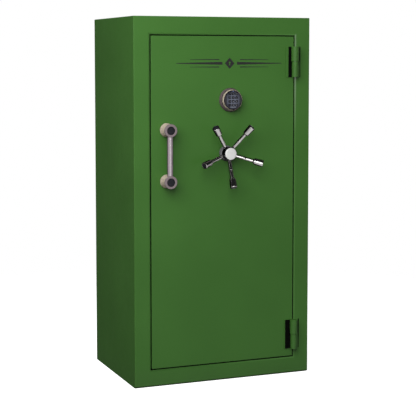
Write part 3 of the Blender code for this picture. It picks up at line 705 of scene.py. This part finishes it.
def make_leaves(level, band):
    """The door leaf, with a black strip on it that paints the barrel's shadow on the door, and a thin
    black line beside the body leaf that paints the barrel's contact shadow on the body.
    """
    door_low, door_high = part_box(f"door_knuckle_{level}")
    body_low, body_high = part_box(f"frame_knuckle_{level}")
    bottom, top = body_low.z, door_high.z
    back = door_high.y
    right = HINGE_X - 0.0150
    leaf = slab(
        f"hinge_leaf_{level}", (door_low.x, back - 0.0037, bottom), (right, back, top),
        corner=0.0016, edge=0.0009, edge_high=False,
    )
    finish(leaf, GREEN, "door", "green_powder_coat")
    # Painted shadow: a black strip on the door leaf where the barrel's shadow falls.
    strip = slab(
        f"hinge_painted_shadow_{level}", (door_low.x + band, back - 0.0043, bottom + 0.0008),
        (HINGE_X - 0.0092, back - 0.0030, top - 0.0008), corner=0.0008, edge=0.0004,
        edge_high=False,
    )
    finish(strip, SHADE_BLACK, "door", "seal_strip")
    # Painted shadow: a thin black line on the body beside the body leaf, where the barrel's contact
    # shadow falls.
    shadow_line = slab(
        f"hinge_painted_shadow_line_{level}",
        (body_high.x + 0.0002, back - 0.0011, bottom), (body_high.x + 0.0046, back, top),
        corner=0.0010, edge=0.0006, edge_high=False,
    )
    finish(shadow_line, SHADE_BLACK, "cabinet", "seal_strip")


def make_frame_knuckle(node):
    low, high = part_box(node)
    radius = FRAME_KNUCKLE_RADIUS
    place = Matrix.Translation((HINGE_X, low.y + radius, low.z))
    tall = high.z - low.z
    barrel = lathe(
        f"{node}_barrel",
        [
            (0, 0.008), (PIN_BORE, 0.008), (PIN_BORE, tall), (radius, tall, 0.0014),
            (radius, 0, 0.0020), (0, 0),
        ],
        place,
    )
    web = extrude_outline(
        "leaf",
        [
            (0.002, 0.0177), (0.002, 0.0110), (0.0095, 0.0080), (0.0125, 0.0140), (0.0275, 0.0140),
            (0.0275, 0.0177),
        ],
        tall, place, 0.0007,
    )
    combine(barrel, [web], "UNION")
    barrel.visible_glossy = False
    flow(barrel, lambda at: abs(at.x - HINGE_X) < radius * 0.98)
    finish(barrel, GREEN, "cabinet", "green_powder_coat", node)


def extrude_outline(name, outline, height, place, edge=0.0):
    """A flat outline raised by height, its corners softened."""
    form = bmesh.new()
    corners = [form.verts.new((x, y, 0)) for x, y in outline]
    form.faces.new(corners)
    raised = bmesh.ops.extrude_face_region(form, geom=form.faces[:])
    lifted = [item for item in raised["geom"] if isinstance(item, bmesh.types.BMVert)]
    bmesh.ops.translate(form, vec=(0, 0, height), verts=lifted)
    bmesh.ops.recalc_face_normals(form, faces=form.faces)
    if edge:
        sharp = [e for e in form.edges if e.calc_face_angle(0) > math.radians(40)]
        bmesh.ops.bevel(form, geom=sharp, offset=edge, segments=2, profile=0.5, affect="EDGES")
    obj = as_object(name, form)
    obj.data.transform(place)
    return obj


# ------------------------------------------------------------------ five-spoke handle


def make_handle():
    axis, radius, back, front = measure("handle_escutcheon")
    rose = lathe(
        "handle_rose",
        [
            (SHAFT_HOLE, front), (radius - 0.0050, front, 0.0008),
            (radius - 0.0030, front - 0.0022, 0.0016), (radius - 0.0006, back + 0.0042, 0.0014),
            (radius, back + 0.0030, 0.0006), (radius, back), (SHAFT_HOLE, back),
        ],
        on_face(axis), closed=True,
    )
    finish(rose, ROSE_NICKEL, "door", "dark_chrome", "handle_escutcheon")

    axis, radius, back, front = measure("handle_hub")
    bore = 0.0100
    hub = lathe(
        "handle_boss",
        [
            (0, front), (radius - 0.0006, front, 0.0010), (radius, front - 0.0035, 0.0008),
            (radius - 0.0009, front - 0.0052, 0.0006), (radius - 0.0009, back + 0.0052, 0.0006),
            (radius, back + 0.0038, 0.0008), (radius - 0.0008, back, 0.0010), (bore, back),
            (bore, front - 0.0065), (0, front - 0.0065),
        ],
        on_face(axis),
    )
    finish(hub, HUB_CHROME, "handle", "chrome", "handle_hub")

    axis, radius, back, front = measure("hub_cap")
    cap = lathe(
        "handle_cap",
        [
            (0, front), (radius * 0.60, front - 0.0001, 0.004),
            (radius - 0.0018, front - 0.0008, 0.0012), (radius, front - 0.0024, 0.0010), (radius, back),
            (0, back),
        ],
        on_face(axis),
    )
    finish(cap, CAP_NICKEL, "handle", "satin_nickel", "hub_cap")

    hub_axis = Vector((axis[0], FACE - 0.02, axis[1]))
    for number in range(1, 6):
        make_spoke(f"spoke_{number}", hub_axis)


def make_spoke(node, hub_axis):
    """A slim stem with a ball collar, and a grip with a waist, a band and a domed end."""
    start, end = line_of(node, hub_axis)
    length = (end - start).length
    spoke = lathe(
        f"{node}_turned",
        [
            (0, 0), (0.0060, 0), (0.0062, 0.013, 0.003), (0.0076, length - 0.0850, 0.010),
            (0.0083, length - 0.0800, 0.004), (0.0072, length - 0.0740, 0.004),
            (0.0072, length - 0.0430, 0.0015), (0.0110, length - 0.0402, 0.0012),
            (0.0128, length - 0.0380, 0.0022), (0.0131, length - 0.0320, 0.004),
            (0.0143, length - 0.0060, 0.004), (0.0145, length - 0.0032, 0.0008),
            (0.0132, length - 0.0004, 0.0008), (0.0112, length - 0.0004, 0.0004),
            (0.0112, length - 0.0020), (0, length - 0.0020),
        ],
        along(start, (end - start).normalized()), sides=ROUND,
    )
    finish(spoke, CHROME, "handle", "chrome", node)
    insert = lathe(
        f"{node}_insert",
        [(0, 0.0018), (0.0060, 0.0017, 0.003), (0.0108, 0.0009, 0.0009), (0.0111, 0.0002), (0, 0.0002)],
        along(start + (end - start).normalized() * (length - 0.0020), (end - start).normalized()),
        sides=ROUND,
    )
    finish(insert, BLACK, "handle", "black_plastic")


# ------------------------------------------------------------------ pull handle


def make_pull_handle():
    for level in ("upper", "lower"):
        node = f"pull_post_{level}"
        low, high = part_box(node)
        axis = ((low.x + high.x) / 2, (low.z + high.z) / 2)
        foot, back, front = (high.x - low.x) / 2, FACE - high.y, FACE - low.y
        wall = 0.0255
        outline = [(0, back), (foot, back), (foot, back + 0.0060, 0.0012)]
        outline.append((wall, back + 0.0105, 0.0010))
        groove, count = 0.0006, 5
        first, last = back + 0.0150, front - 0.0135
        for index in range(count):
            middle = first + (last - first) * index / (count - 1)
            outline += [
                (wall, middle - 0.0008, 0.0002), (wall - groove, middle - 0.0003, 0.0002),
                (wall - groove, middle + 0.0003, 0.0002), (wall, middle + 0.0008, 0.0002),
            ]
        slim = wall - 0.0008
        outline += [(wall, front - 0.0105, 0.0004), (slim, front - 0.0098), (slim, front - 0.0090)]
        post = lathe(f"{node}_turned", outline + [(0, front - 0.0090)], on_face(axis))
        cut_bar_hole(post, level)
        finish(post, TAN_NICKEL, "door", "satin_nickel", node)

        ring_r, recess = 0.0266, 0.0168
        ring = lathe(
            f"{node}_ring",
            [
                (0, front - 0.0088), (ring_r - 0.0004, front - 0.0088, 0.0006),
                (ring_r, front - 0.0070, 0.0008), (ring_r, front - 0.0014, 0.0010),
                (ring_r - 0.0016, front, 0.0007), (recess + 0.0008, front, 0.0005),
                (recess, front - 0.0008, 0.0003), (recess, front - 0.0030), (0, front - 0.0030),
            ],
            on_face(axis),
        )
        cut_bar_hole(ring, level)
        finish(ring, MAUVE_NICKEL, "door", "satin_nickel")

        cap_axis, radius, back, front = measure(f"pull_cap_{level}")
        cap = lathe(
            f"pull_cap_{level}_moulded",
            [
                (0, front), (radius * 0.5, front - 0.0001, 0.004),
                (radius * 0.84, front - 0.0003, 0.0008), (radius * 0.88, front - 0.0007, 0.0004),
                (radius * 0.93, front - 0.0005, 0.0004), (radius, front - 0.0012, 0.0006),
                (radius, back), (0, back),
            ],
            on_face(cap_axis),
        )
        finish(cap, KEY_BLACK, "door", "black_plastic", f"pull_cap_{level}")
    make_pull_bar()


def cut_bar_hole(piece, level):
    """The socket that the bar sits in, on the side of a post that faces the other post."""
    low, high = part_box("pull_bar")
    x, y = (low.x + high.x) / 2, (low.y + high.y) / 2
    if level == "upper":
        start, end = high.z - 0.02, high.z + 0.0006
    else:
        start, end = low.z + 0.02, low.z - 0.0006
    combine(piece, [cylinder("socket", (x, y, start), (x, y, end), 0.0112, 48)])


def make_pull_bar():
    low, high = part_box("pull_bar")
    thick, slim = (high.x - low.x) / 2, 0.0113
    length = high.z - low.z
    outline = [(0, 0), (slim, 0)]
    steps = 16
    for index in range(steps + 1):
        share = index / steps
        across = slim + (thick - slim) * math.sin(math.pi * share)
        outline.append((across, 0.002 + (length - 0.004) * share))
    outline += [(slim, length), (0, length)]
    place = Matrix.Translation(((low.x + high.x) / 2, (low.y + high.y) / 2, low.z))
    finish(lathe("pull_bar_turned", outline, place), BAR_CHROME, "door", "chrome", "pull_bar")


# ------------------------------------------------------------------ keypad lock


def make_keypad():
    axis, radius, back, front = measure("keypad_base")
    base = lathe(
        "keypad_flange",
        [
            (QUILL_HOLE, front), (radius - 0.0034, front, 0.0008),
            (radius - 0.0022, front - 0.0040, 0.0010), (radius - 0.0006, back + 0.0050, 0.0010),
            (radius, back + 0.0030, 0.0006), (radius, back), (QUILL_HOLE, back),
        ],
        on_face(axis), closed=True,
    )
    finish(base, FLANGE_NICKEL, "door", "satin_nickel", "keypad_base")
    make_keypad_ring(axis)
    make_keypad_face(axis)
    legends = ("1", "2", "3", "4", "5", "6", "7", "8", "9", "*", "0", "#")
    for number, legend in enumerate(legends, 1):
        make_key(f"key_{number}", legend)


def make_keypad_ring(axis):
    """The dial ring: a coin-edged grip behind a plain bevel, on the quill that turns the lock."""
    low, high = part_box("keypad_ring")
    radius, front, quill = (high.x - low.x) / 2, FACE - low.y, 0.0090
    back, floor, quill_end = 0.0123, 0.0195, FACE - high.y
    grip = lathe(
        "keypad_grip",
        [
            (quill, back), (radius - 0.0006, back, 0.0003), (radius, back + 0.0007, 0.0003),
            (radius, back + 0.0070, 0.0003), (radius - 0.0007, back + 0.0077, 0.0002),
            (radius - 0.0020, back + 0.0078), (radius - 0.0020, floor - 0.0002),
            (0.0053, floor - 0.0002), (0.0053, quill_end), (quill, quill_end),
        ],
        on_face(axis), closed=True, ridges=(72, 0.0007, back + 0.0004, back + 0.0075),
    )
    finish(grip, GRIP_NICKEL, "keypad_dial", "satin_nickel", "keypad_ring")
    bevel = lathe(
        "keypad_bevel",
        [
            (radius - 0.0019, back + 0.0080), (radius - 0.0004, back + 0.0080, 0.0004),
            (radius - 0.0006, back + 0.0100, 0.0006), (0.0412, front - 0.0006, 0.0006),
            (0.0402, front, 0.0003), (0.0400, front - 0.0006, 0.0002), (0.0400, back + 0.0080),
        ],
        on_face(axis), closed=True,
    )
    finish(bevel, BEIGE_NICKEL, "keypad_dial", "satin_nickel")


def make_keypad_face(axis):
    """A gloss black bezel round a lighter membrane, with a lamp above the keys and a bar below."""
    low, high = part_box("keypad_face")
    radius, front, stem_end = (high.x - low.x) / 2, FACE - low.y, FACE - high.y
    floor, field, half_wide, sunk = 0.0199, 0.0360, 0.0285, 0.0012
    bezel = lathe(
        "keypad_bezel",
        [
            (0, front - sunk), (field + 0.0006, front - sunk, 0.0004),
            (field + 0.0014, front - 0.0002, 0.0004), (field + 0.0018, front, 0.0003),
            (radius - 0.0010, front - 0.0003, 0.0008), (radius, front - 0.0017, 0.0008),
            (radius, floor), (0.0046, floor), (0.0046, stem_end), (0, stem_end),
        ],
        on_face(axis),
    )
    outline = []
    for step in range(FINE):
        angle = math.tau * step / FINE
        x = max(-half_wide, min(half_wide, field * math.cos(angle)))
        outline.append((x, field * math.sin(angle)))
    membrane = extrude_outline("keypad_membrane", outline, sunk - 0.0006, Matrix(), 0.0002)
    membrane.matrix_world = on_face(axis, front - sunk + 0.0001)
    pockets = []
    for number in range(1, 13):
        key_low, key_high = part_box(f"key_{number}")
        room = Vector((0.0004, 0, 0.0004))
        key_low, key_high = key_low - room, key_high + room
        key_low.y, key_high.y = FACE - 0.04, FACE - 0.0300
        pockets.append(slab("pocket", key_low, key_high, corner=0.0019))
    combine(bezel, [copy_of(pocket) for pocket in pockets])
    combine(membrane, pockets)
    finish(bezel, BLACK, "door", "black_plastic", "keypad_face")
    finish(membrane, MEMBRANE, "door", "black_plastic")

    top = measure("key_2")[0]
    seat = front - 0.0006
    lamp = lathe(
        "keypad_lamp",
        [(0, 0.0014), (0.0010, 0.0012, 0.0006), (0.0017, 0.0003, 0.0006), (0.0018, 0), (0, 0)],
        on_face((top[0], top[1] + 0.0105), seat), sides=32,
    )
    finish(lamp, LENS, "door", "black_plastic")
    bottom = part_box("key_11")[0].z
    bar = slab(
        "keypad_bar", (axis[0] - 0.0125, FACE - front + 0.0001, bottom - 0.0050),
        (axis[0] + 0.0125, FACE - front + 0.0008, bottom - 0.0016), corner=0.0013, edge=0.0004,
        edge_high=False,
    )
    finish(bar, BAR_GREY, "door", "black_plastic")


def copy_of(obj):
    made = obj.copy()
    made.data = obj.data.copy()
    bpy.context.scene.collection.objects.link(made)
    return made


def make_key(node, legend):
    """A soft-cornered key with a printed legend."""
    low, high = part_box(node)
    key = slab(f"{node}_moulded", low, high, corner=0.0017, edge=0.0006, edge_high=False)
    finish(key, KEY_BLACK, node, "key_plastic", node)
    curve = bpy.data.curves.new(f"{node}_legend_form", "FONT")
    curve.body = legend
    curve.align_x, curve.align_y = "CENTER", "CENTER"
    curve.size = 0.0062
    curve.extrude = 0.00006
    curve.offset = 0.00006
    form = bpy.data.objects.new("legend_form", curve)
    bpy.context.scene.collection.objects.link(form)
    bpy.context.view_layer.update()
    graph = bpy.context.evaluated_depsgraph_get()
    mesh = bpy.data.meshes.new_from_object(form.evaluated_get(graph), depsgraph=graph)
    bpy.data.objects.remove(form)
    corners = np.array([v.co for v in mesh.vertices], float)
    middle = (corners.min(0) + corners.max(0)) / 2
    mesh.transform(Matrix.Translation((-middle[0], -middle[1], 0)))
    mesh.name = f"{node}_legend"
    mark = bpy.data.objects.new(f"{node}_legend", mesh)
    bpy.context.scene.collection.objects.link(mark)
    centre = (low + high) / 2
    mark.matrix_world = on_face((centre.x, centre.z), FACE - low.y + 0.00002)
    mesh.materials.clear()
    finish(mark, LEGEND, node, "key_plastic")


# ------------------------------------------------------------------ boltwork and door inside


def make_side_bolts():
    for number in range(1, 5):
        node = f"side_bolt_{number}"
        low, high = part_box(node)
        radius, length = (high.z - low.z) / 2, high.x - low.x
        bolt = lathe(
            f"{node}_turned",
            [(0, 0), (radius, 0), (radius, length, 0.0030), (radius * 0.55, length), (0, length)],
            along(Vector((high.x, (low.y + high.y) / 2, (low.z + high.z) / 2)), Vector((-1, 0, 0))),
        )
        finish(bolt, CHROME, "side_bolts", "chrome", node)


def make_panel_screws():
    """Pan-head screws with cup washers round the edge of the door's inner panel."""
    inset_x, inset_z = 0.022, 0.022
    rows = 6
    left, right = PANEL_LOW.x + inset_x, PANEL_HIGH.x - inset_x
    low, high = PANEL_LOW.z + inset_z, PANEL_HIGH.z - inset_z
    places = [(x, low + (high - low) * row / (rows - 1)) for row in range(rows) for x in (left, right)]
    middle = (left + right) / 2
    places += [(middle, low), (middle, high)]
    inwards = Matrix.Rotation(-math.pi / 2, 4, "X")
    for number, (x, z) in enumerate(places, 1):
        place = Matrix.Translation((x, PANEL_HIGH.y + 0.0002, z)) @ inwards
        washer = lathe(
            f"panel_washer_{number}",
            [
                (0.0024, 0), (0.0082, 0), (0.0082, 0.0004, 0.0003), (0.0062, 0.0018, 0.0008),
                (0.0044, 0.0017, 0.0004), (0.0024, 0.0008),
            ],
            place, closed=True, sides=48,
        )
        finish(washer, STEEL_GREY, "door", "plain_steel")
        screw = lathe(
            f"panel_screw_{number}",
            [
                (0, 0.0030), (0.0022, 0.0029, 0.0010), (0.0039, 0.0019, 0.0010), (0.0040, 0.0012),
                (0.0023, 0.0009), (0, 0.0009),
            ],
            place, sides=48,
        )
        reach, half, deep = 0.0021, 0.00045, 0.0014
        height = PANEL_HIGH.y + 0.0032
        cross = [
            slab("slot", (x - reach, height - deep, z - half), (x + reach, height + 0.002, z + half)),
            slab("slot", (x - half, height - deep, z - reach), (x + half, height + 0.002, z + reach)),
        ]
        combine(screw, cross)
        finish(screw, STEEL_GREY, "door", "plain_steel")


def make_decal():
    """A plain pinstripe across the top of the door, with a small keyhole diamond at its middle."""
    span_low, span_high = -0.208, 0.258
    middle, level = (span_low + span_high) / 2, 1.312
    skin, proud = 0.00018, 0.00003
    place = Matrix.Translation((0, FACE - proud, 0)) @ Matrix.Rotation(math.pi / 2, 4, "X")
    gap, half = 0.032, 0.0056
    bars = []
    for side, end in ((-1, span_low), (1, span_high)):
        near, up, down = middle + side * gap, level + 0.0012, level - 0.0012
        bars.append([(near, level + half), (end, up), (end, down), (near, level - half)])
        near, far = middle + side * (gap + 0.014), end - side * 0.06
        for z in (level + 0.0150, level - 0.0150):
            bars.append([(near, z + 0.0020), (far, z + 0.0008), (far, z - 0.0008), (near, z - 0.0020)])
    tall, wide = 0.0230, 0.0210
    diamond = [(middle + x, level + z) for x, z in ((0, tall), (wide, 0), (0, -tall), (-wide, 0))]
    for number, outline in enumerate(bars + [diamond], 1):
        strip = extrude_outline(f"door_stripe_{number}", outline, skin, place)
        if outline is diamond:
            axis = (middle, FACE - 0.01, level + 0.003)
            hole = cylinder("eye", axis, (middle, FACE + 0.01, level + 0.003), 0.0038, 40)
            legs = [(-0.0012, 0.002), (0.0012, 0.002), (0.0030, -0.0085), (-0.0030, -0.0085)]
            slot = extrude_outline(
                "leg", [(middle + x, level + z) for x, z in legs], 0.01,
                Matrix.Translation((0, FACE + 0.005, 0)) @ Matrix.Rotation(math.pi / 2, 4, "X"),
            )
            combine(strip, [hole, slot])
        finish(strip, DECAL, "door", "black_plastic")


# ------------------------------------------------------------------ carried-over nodes


CARRIED = {
    "green_powder_coat": (GREEN, ["front_frame", "door_pan"]),
    "grey_carpet": (
        CARPET,
        ["interior_liner", "upper_shelf", "side_shelf_upper", "side_shelf_lower"]
        + ["divider_panel", "barrel_rest", "inner_panel"],
    ),
    "fireboard": (BOARD, ["fireboard_lining", "door_fireboard"]),
    "seal_strip": (SEAL, ["door_seal"]),
    "zinc_plate": (
        ZINC, ["side_bolt_bar", "top_bolt_bar", "bottom_bolt_bar", "dead_bolts", "lock_case"],
    ),
    "plain_steel": (
        STEEL_GREY,
        ["handle_shaft", "drive_pinion", "hinge_pin_upper", "hinge_pin_lower", "lock_bolt"],
    ),
}


def dress_carried_nodes():
    for material, nodes in CARRIED.values():
        for node in nodes:
            for slot in frame["nodes"][node].material_slots:
                slot.material = material


# ------------------------------------------------------------------ floor, light and camera


FLOOR_RADIUS = 2.6

# Brightness of the studio's parts
AMBIENT = 0.52
STUDIO_BEHIND = 0.18
STUDIO_DARK = 0.015
STUDIO_TABLE = 0.70
WALL_TOP = 0.02

# Bright walls seen in reflections: (heading, where it starts, where it is full, foot, brightness)
STUDIO_WALLS = (
    ((-0.12, -0.99, 0), 0.80, 0.88, -0.60, 0.95),
    ((-0.97, -0.22, 0), 0.40, 0.60, -0.20, 0.60),
    ((0.90, -0.40, 0), 0.70, 0.85, -0.60, 0.35),
)

# Lights: (place, point faced, size, brightness)
KEY_LIGHT = ((-1.55, -2.25, 2.35), (0.0, FACE, 1.05), (2.6, 2.2), 6.7)
STRIP_LIGHT = ((-1.72, -4.30, 1.85), (0.0, FACE, 1.15), (1.3, 1.5), 5.5)

# The camera, fitted to the photograph's outline, with part of its framing left to the shift
CAMERA_PLACE = (-1.9341, -4.9083, 1.3306)
CAMERA_TURN = math.radians(-21.883)
CAMERA_TILT = math.radians(-4.629)
CAMERA_LENS = 106.557
CAMERA_SHIFT = -0.10
SENSOR_WIDTH = 36.0


def make_floor():
    """A pale disc that fades out at its rim."""
    form = bmesh.new()
    bmesh.ops.create_circle(form, cap_ends=True, segments=96, radius=FLOOR_RADIUS)
    floor = as_object("floor", form)
    floor.location.z = -0.0005
    material, tree, shader = shader_of("floor_white", 0.85)
    material.surface_render_method = "BLENDED"
    vector = place_of(tree)
    cloud = noise(tree, vector, 0.4, 2)
    link(tree, blend(tree, cloud, (0.80, 0.80, 0.80), (0.84, 0.84, 0.84)), shader, "Base Color")
    shader.inputs["Emission Color"].default_value = (1, 1, 1, 1)
    shader.inputs["Emission Strength"].default_value = 0.80
    away = add(tree, "ShaderNodeVectorMath", {0: vector}, operation="LENGTH").outputs["Value"]
    link(tree, spread(tree, away, FLOOR_RADIUS * 0.45, FLOOR_RADIUS * 0.98, 1.0, 0.0), shader, "Alpha")
    floor.data.materials.append(material)
    floor.visible_diffuse = False
    floor.visible_glossy = False


def make_world():
    """White for the camera, a soft sky from above for shading, a dark studio for reflections."""
    world = bpy.data.worlds.new("studio")
    bpy.context.scene.world = world
    world.use_nodes = True
    tree = world.node_tree
    tree.nodes.clear()
    path = add(tree, "ShaderNodeLightPath").outputs
    white = add(tree, "ShaderNodeBackground", {"Color": (1, 1, 1, 1), "Strength": 1.0}).outputs[0]
    heading = add(tree, "ShaderNodeTexCoord").outputs["Generated"]
    sideways, outwards, up = split(tree, heading)
    sky = spread(tree, up, -0.10, 0.12, 0.0, AMBIENT)
    soft = add(tree, "ShaderNodeBackground", {"Color": (0.96, 0.98, 1, 1), "Strength": sky}).outputs[0]
    below = spread(tree, up, -0.12, -0.45, 0.0, STUDIO_TABLE)
    table = times(tree, below, spread(tree, outwards, 0.10, -0.20, 0.0, 1.0))
    glow = combine_values(tree, "MAXIMUM", table, STUDIO_DARK)
    for towards, edge, core, foot, bright in STUDIO_WALLS:
        ends = {0: heading, 1: Vector(towards).normalized()}
        facing = add(tree, "ShaderNodeVectorMath", ends, operation="DOT_PRODUCT").outputs["Value"]
        wall = spread(tree, facing, edge, core, 0.0, bright)
        wall = times(tree, wall, spread(tree, up, WALL_TOP, WALL_TOP + 0.10, 1.0, 0.0))
        wall = times(tree, wall, spread(tree, up, foot - 0.08, foot, 0.0, 1.0))
        glow = combine_values(tree, "MAXIMUM", glow, wall)
    behind = spread(tree, outwards, 0.02, 0.20, 0.0, STUDIO_BEHIND)
    behind = times(tree, behind, spread(tree, sideways, -0.16, 0.02, 0.26, 1.0))
    behind = times(tree, behind, spread(tree, up, -0.55, -0.35, 0.0, 1.0))
    glow = combine_values(tree, "MAXIMUM", glow, behind)
    mauve = spread(tree, outwards, -0.1, 0.1, 0.0, 1.0)
    tint = blend(tree, mauve, (1.0, 0.97, 0.98), (1.0, 0.80, 0.90))
    studio = add(tree, "ShaderNodeBackground", {"Color": tint, "Strength": glow}).outputs[0]
    lit = add(tree, "ShaderNodeMixShader", {0: path["Is Glossy Ray"], 1: soft, 2: studio}).outputs[0]
    seen = add(tree, "ShaderNodeMixShader", {0: path["Is Camera Ray"], 1: lit, 2: white}).outputs[0]
    output = add(tree, "ShaderNodeOutputWorld")
    tree.links.new(seen, output.inputs["Surface"])


def softbox(name, place, aim, size, brightness):
    """A rectangular area light whose surface is about that bright, facing a point."""
    light = bpy.data.lights.new(name, "AREA")
    light.shape = "RECTANGLE"
    light.size, light.size_y = size
    light.energy = brightness * math.pi * size[0] * size[1]
    obj = bpy.data.objects.new(name, light)
    bpy.context.scene.collection.objects.link(obj)
    obj.location = place
    heading = Vector(aim) - Vector(place)
    obj.rotation_euler = heading.to_track_quat("-Z", "Y").to_euler()
    obj.visible_camera = False
    return obj


def make_lights():
    key = softbox("key_light", *KEY_LIGHT)
    key.visible_glossy = False
    strip = softbox("strip_light", *STRIP_LIGHT)
    strip.visible_diffuse = False


def make_camera():
    data = bpy.data.cameras.new("camera")
    data.lens = CAMERA_LENS
    data.sensor_width = SENSOR_WIDTH
    data.shift_y = CAMERA_SHIFT
    camera = bpy.data.objects.new("camera", data)
    bpy.context.scene.collection.objects.link(camera)
    camera.location = CAMERA_PLACE
    camera.rotation_euler = (math.pi / 2 + CAMERA_TILT, 0, CAMERA_TURN)
    bpy.context.scene.camera = camera


make_body()
make_gap_shade_fin()
make_door_skin()
make_hinges()
make_handle()
make_pull_handle()
make_keypad()
make_side_bolts()
make_panel_screws()
make_decal()
dress_carried_nodes()
make_floor()
make_world()
make_lights()
make_camera()
bpy.context.scene.view_settings.view_transform = "Standard"
